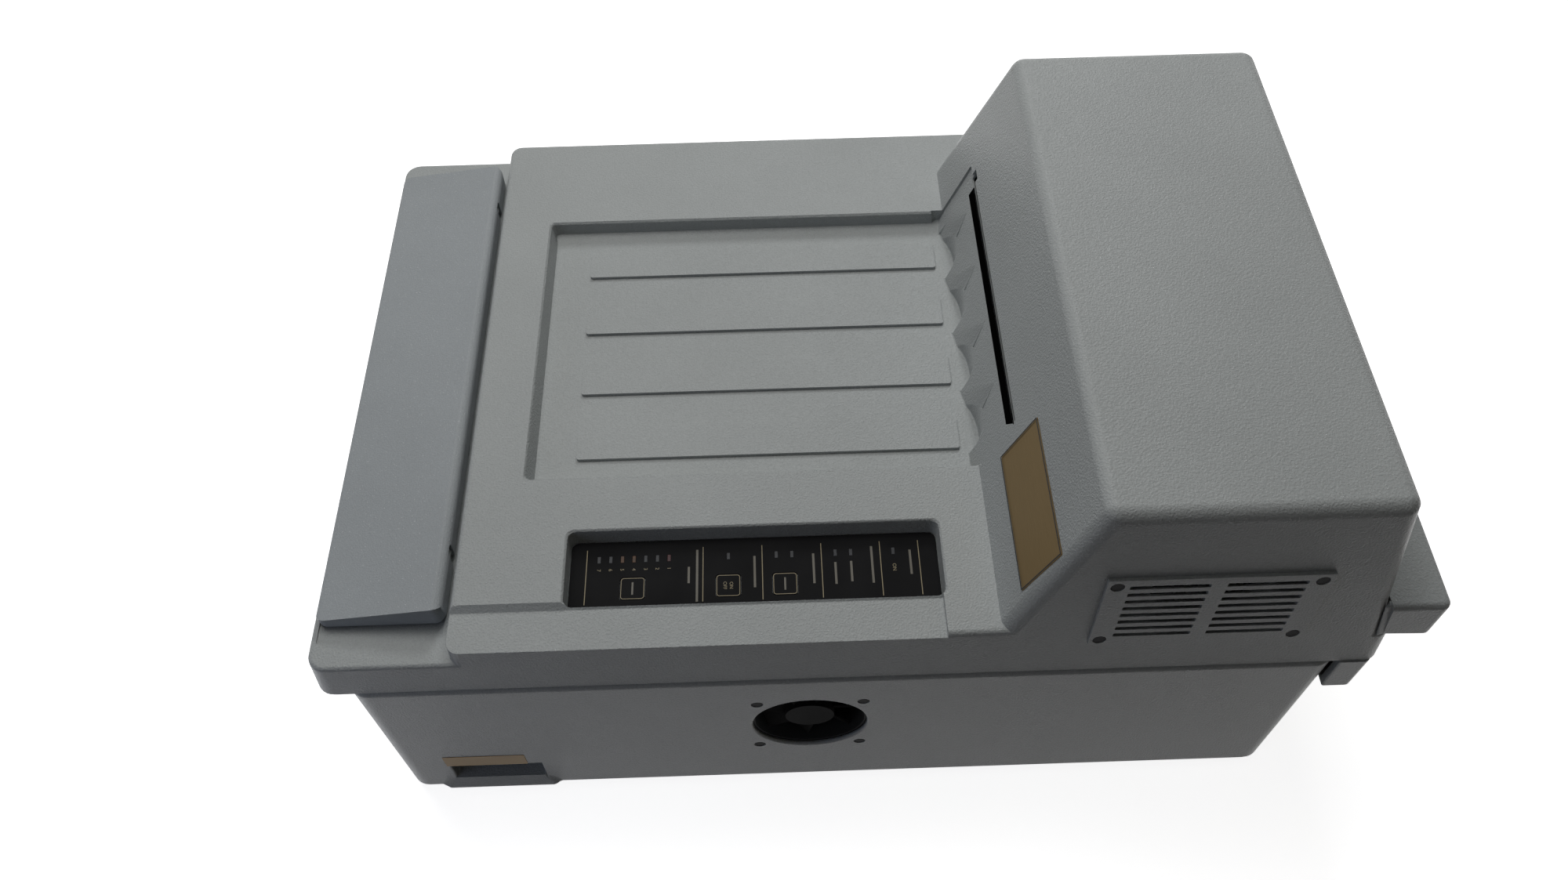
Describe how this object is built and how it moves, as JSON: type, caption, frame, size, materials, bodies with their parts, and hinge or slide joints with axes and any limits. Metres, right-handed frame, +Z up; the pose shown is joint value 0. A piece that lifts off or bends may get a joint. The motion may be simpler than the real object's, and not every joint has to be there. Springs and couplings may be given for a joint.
{
  "type": "dental x-ray film processor",
  "caption": "Tabletop roller-transport film processor with a feed lid, receiving tray, control recess and a raised dryer hump over chemical tanks.",
  "frame": {"origin": "centre of the whole machine's plan, on the surface that its feet stand on", "axes": "+X from the feed end to the dryer end, +Y away from the control panel, +Z up"},
  "size_m": [0.711, 0.464, 0.344],
  "materials": {
    "cover_paint": "light grey textured paint with a fine sparkle",
    "tub_paint": "light grey textured paint",
    "lid_paint": "smoother light blue-grey paint",
    "black_plastic": "matt black moulded plastic",
    "panel_black": "satin black fascia film",
    "key_black": "satin black key",
    "lens_red": "unlit tinted lamp windows",
    "plate_gold": "satin gold anodised plate",
    "screw_black": "black oxide screws",
    "rubber": "black rubber",
    "roller_rubber": "dark grey rubber sleeve",
    "nylon": "natural nylon",
    "rack_grey": "dark grey moulded plastic",
    "tank_plastic": "cream moulded plastic",
    "sheet_steel": "plain sheet steel",
    "bright_steel": "ground steel",
    "board_green": "green solder-masked board",
    "motor_grey": "dark grey paint",
    "valve_blue": "blue moulded plastic",
    "heater_metal": "heat-darkened steel"
  },
  "bodies": {
    "base": {"base_tub": "tub_paint", "rubber_feet": "rubber", "service_duct": "tub_paint", "mains_inlet": "black_plastic", "tank_block": "tank_plastic", "developer_rack": "rack_grey", "fixer_rack": "rack_grey", "wash_rack": "rack_grey", "dryer_frame": "sheet_steel", "shaft_bearings": "nylon", "drive_motor": "motor_grey", "fan_frame": "black_plastic", "fan_screws": "screw_black", "power_supply": "motor_grey", "power_board": "board_green", "circulation_pumps": "rack_grey", "replenish_pumps": "motor_grey", "tank_heaters": "bright_steel", "blower_housing": "sheet_steel", "air_plenum": "sheet_steel", "dryer_heater": "heater_metal", "drain_spigots": "nylon", "water_valve": "valve_blue"},
    "cover": {"top_cover": "cover_paint", "vent_grille": "cover_paint", "grille_screws": "screw_black", "exhaust_duct": "cover_paint", "nameplate": "plate_gold", "control_panel": "panel_black", "led_lenses": "lens_red", "control_board": "board_green", "feed_tray": "black_plastic", "hinge_pins": "bright_steel"},
    "lid": {"feed_lid": "lid_paint"},
    "key_program": {"key_program": "key_black"},
    "key_power": {"key_power": "key_black"},
    "key_run": {"key_run": "key_black"},
    "drive": {"drive_shaft": "bright_steel", "drive_worms": "nylon"},
    "feed_roller_lower": {"feed_roller_lower": "roller_rubber"},
    "feed_roller_upper": {"feed_roller_upper": "roller_rubber"},
    "developer_roller_lower": {"developer_roller_lower": "roller_rubber"},
    "developer_roller_upper": {"developer_roller_upper": "roller_rubber"},
    "developer_idler_gear": {"developer_idler_gear": "nylon"},
    "developer_turn_roller": {"developer_turn_roller": "roller_rubber"},
    "fixer_roller_lower": {"fixer_roller_lower": "roller_rubber"},
    "fixer_roller_upper": {"fixer_roller_upper": "roller_rubber"},
    "fixer_idler_gear": {"fixer_idler_gear": "nylon"},
    "fixer_turn_roller": {"fixer_turn_roller": "roller_rubber"},
    "wash_roller_lower": {"wash_roller_lower": "roller_rubber"},
    "wash_roller_upper": {"wash_roller_upper": "roller_rubber"},
    "wash_idler_gear": {"wash_idler_gear": "nylon"},
    "wash_turn_roller": {"wash_turn_roller": "roller_rubber"},
    "dryer_roller_lower": {"dryer_roller_lower": "roller_rubber"},
    "dryer_roller_upper": {"dryer_roller_upper": "roller_rubber"},
    "dryer_drum": {"dryer_drum": "bright_steel"},
    "exit_roller_lower": {"exit_roller_lower": "roller_rubber"},
    "exit_roller_upper": {"exit_roller_upper": "roller_rubber"},
    "fan_rotor": {"fan_rotor": "black_plastic"},
    "blower_wheel": {"blower_wheel": "motor_grey"}
  },
  "joints": [
    {"name": "cover_lift", "type": "slide", "parent": "base", "child": "cover", "axis": [0, 0, 1], "range_m": [0, 0.2]},
    {"name": "lid_hinge", "type": "hinge", "parent": "cover", "child": "lid", "pos_m": [-0.2735, 0.02075, 0.2165], "axis": [0, 1, 0], "range_deg": [0, 105]},
    {"name": "key_program_press", "type": "slide", "parent": "cover", "child": "key_program", "axis": [0, 0, -1], "range_m": [0, 0.0005], "stiffness_N_per_m": 600, "springref_m": -0.0005},
    {"name": "key_power_press", "type": "slide", "parent": "cover", "child": "key_power", "axis": [0, 0, -1], "range_m": [0, 0.0005], "stiffness_N_per_m": 600, "springref_m": -0.0005},
    {"name": "key_run_press", "type": "slide", "parent": "cover", "child": "key_run", "axis": [0, 0, -1], "range_m": [0, 0.0005], "stiffness_N_per_m": 600, "springref_m": -0.0005},
    {"name": "drive_shaft_spin", "type": "hinge", "parent": "base", "child": "drive", "pos_m": [0, -0.11775, 0.1511], "axis": [1, 0, 0], "continuous": true},
    {"name": "feed_roller_lower_spin", "type": "hinge", "parent": "base", "child": "feed_roller_lower", "pos_m": [-0.298, 0.02075, 0.175], "axis": [0, 1, 0], "continuous": true},
    {"name": "feed_roller_upper_spin", "type": "hinge", "parent": "base", "child": "feed_roller_upper", "pos_m": [-0.298, 0.02075, 0.1932], "axis": [0, 1, 0], "continuous": true},
    {"name": "developer_roller_lower_spin", "type": "hinge", "parent": "base", "child": "developer_roller_lower", "pos_m": [-0.194, 0.02075, 0.175], "axis": [0, 1, 0], "continuous": true},
    {"name": "developer_roller_upper_spin", "type": "hinge", "parent": "base", "child": "developer_roller_upper", "pos_m": [-0.194, 0.02075, 0.1932], "axis": [0, 1, 0], "continuous": true},
    {"name": "developer_idler_gear_spin", "type": "hinge", "parent": "base", "child": "developer_idler_gear", "pos_m": [-0.20685, 0.02075, 0.1205], "axis": [0, 1, 0], "continuous": true},
    {"name": "developer_turn_roller_spin", "type": "hinge", "parent": "base", "child": "developer_turn_roller", "pos_m": [-0.222, 0.02075, 0.05626], "axis": [0, 1, 0], "continuous": true},
    {"name": "fixer_roller_lower_spin", "type": "hinge", "parent": "base", "child": "fixer_roller_lower", "pos_m": [-0.072, 0.02075, 0.175], "axis": [0, 1, 0], "continuous": true},
    {"name": "fixer_roller_upper_spin", "type": "hinge", "parent": "base", "child": "fixer_roller_upper", "pos_m": [-0.072, 0.02075, 0.1932], "axis": [0, 1, 0], "continuous": true},
    {"name": "fixer_idler_gear_spin", "type": "hinge", "parent": "base", "child": "fixer_idler_gear", "pos_m": [-0.08485, 0.02075, 0.1205], "axis": [0, 1, 0], "continuous": true},
    {"name": "fixer_turn_roller_spin", "type": "hinge", "parent": "base", "child": "fixer_turn_roller", "pos_m": [-0.1, 0.02075, 0.05626], "axis": [0, 1, 0], "continuous": true},
    {"name": "wash_roller_lower_spin", "type": "hinge", "parent": "base", "child": "wash_roller_lower", "pos_m": [0.05, 0.02075, 0.175], "axis": [0, 1, 0], "continuous": true},
    {"name": "wash_roller_upper_spin", "type": "hinge", "parent": "base", "child": "wash_roller_upper", "pos_m": [0.05, 0.02075, 0.1932], "axis": [0, 1, 0], "continuous": true},
    {"name": "wash_idler_gear_spin", "type": "hinge", "parent": "base", "child": "wash_idler_gear", "pos_m": [0.03715, 0.02075, 0.1205], "axis": [0, 1, 0], "continuous": true},
    {"name": "wash_turn_roller_spin", "type": "hinge", "parent": "base", "child": "wash_turn_roller", "pos_m": [0.022, 0.02075, 0.05626], "axis": [0, 1, 0], "continuous": true},
    {"name": "dryer_roller_lower_spin", "type": "hinge", "parent": "base", "child": "dryer_roller_lower", "pos_m": [0.149, 0.02075, 0.175], "axis": [0, 1, 0], "continuous": true},
    {"name": "dryer_roller_upper_spin", "type": "hinge", "parent": "base", "child": "dryer_roller_upper", "pos_m": [0.149, 0.02075, 0.1932], "axis": [0, 1, 0], "continuous": true},
    {"name": "dryer_drum_spin", "type": "hinge", "parent": "base", "child": "dryer_drum", "pos_m": [0.189, 0.02075, 0.2275], "axis": [0, 1, 0], "continuous": true},
    {"name": "exit_roller_lower_spin", "type": "hinge", "parent": "base", "child": "exit_roller_lower", "pos_m": [0.13261, 0.02075, 0.2618], "axis": [0, 1, 0], "continuous": true},
    {"name": "exit_roller_upper_spin", "type": "hinge", "parent": "base", "child": "exit_roller_upper", "pos_m": [0.13261, 0.02075, 0.28], "axis": [0, 1, 0], "continuous": true},
    {"name": "fan_rotor_spin", "type": "hinge", "parent": "base", "child": "fan_rotor", "pos_m": [-0.036, -0.2155, 0.104], "axis": [0, 1, 0], "continuous": true},
    {"name": "blower_wheel_spin", "type": "hinge", "parent": "base", "child": "blower_wheel", "pos_m": [0.2035, -0.19706, 0.248], "axis": [0, 1, 0], "continuous": true}
  ],
  "couplings": [
    {"joint": "feed_roller_lower_spin", "follows": "drive_shaft_spin", "ratio": -0.0625},
    {"joint": "feed_roller_upper_spin", "follows": "drive_shaft_spin", "ratio": 0.0625},
    {"joint": "developer_roller_lower_spin", "follows": "drive_shaft_spin", "ratio": -0.0625},
    {"joint": "developer_roller_upper_spin", "follows": "drive_shaft_spin", "ratio": 0.0625},
    {"joint": "developer_idler_gear_spin", "follows": "drive_shaft_spin", "ratio": 0.025},
    {"joint": "developer_turn_roller_spin", "follows": "drive_shaft_spin", "ratio": -0.038462},
    {"joint": "fixer_roller_lower_spin", "follows": "drive_shaft_spin", "ratio": -0.0625},
    {"joint": "fixer_roller_upper_spin", "follows": "drive_shaft_spin", "ratio": 0.0625},
    {"joint": "fixer_idler_gear_spin", "follows": "drive_shaft_spin", "ratio": 0.025},
    {"joint": "fixer_turn_roller_spin", "follows": "drive_shaft_spin", "ratio": -0.038462},
    {"joint": "wash_roller_lower_spin", "follows": "drive_shaft_spin", "ratio": -0.0625},
    {"joint": "wash_roller_upper_spin", "follows": "drive_shaft_spin", "ratio": 0.0625},
    {"joint": "wash_idler_gear_spin", "follows": "drive_shaft_spin", "ratio": 0.025},
    {"joint": "wash_turn_roller_spin", "follows": "drive_shaft_spin", "ratio": -0.038462},
    {"joint": "dryer_roller_lower_spin", "follows": "drive_shaft_spin", "ratio": -0.0625},
    {"joint": "dryer_roller_upper_spin", "follows": "drive_shaft_spin", "ratio": 0.0625},
    {"joint": "dryer_drum_spin", "follows": "drive_shaft_spin", "ratio": 0.02},
    {"joint": "exit_roller_lower_spin", "follows": "drive_shaft_spin", "ratio": -0.0625},
    {"joint": "exit_roller_upper_spin", "follows": "drive_shaft_spin", "ratio": 0.0625}
  ]
}
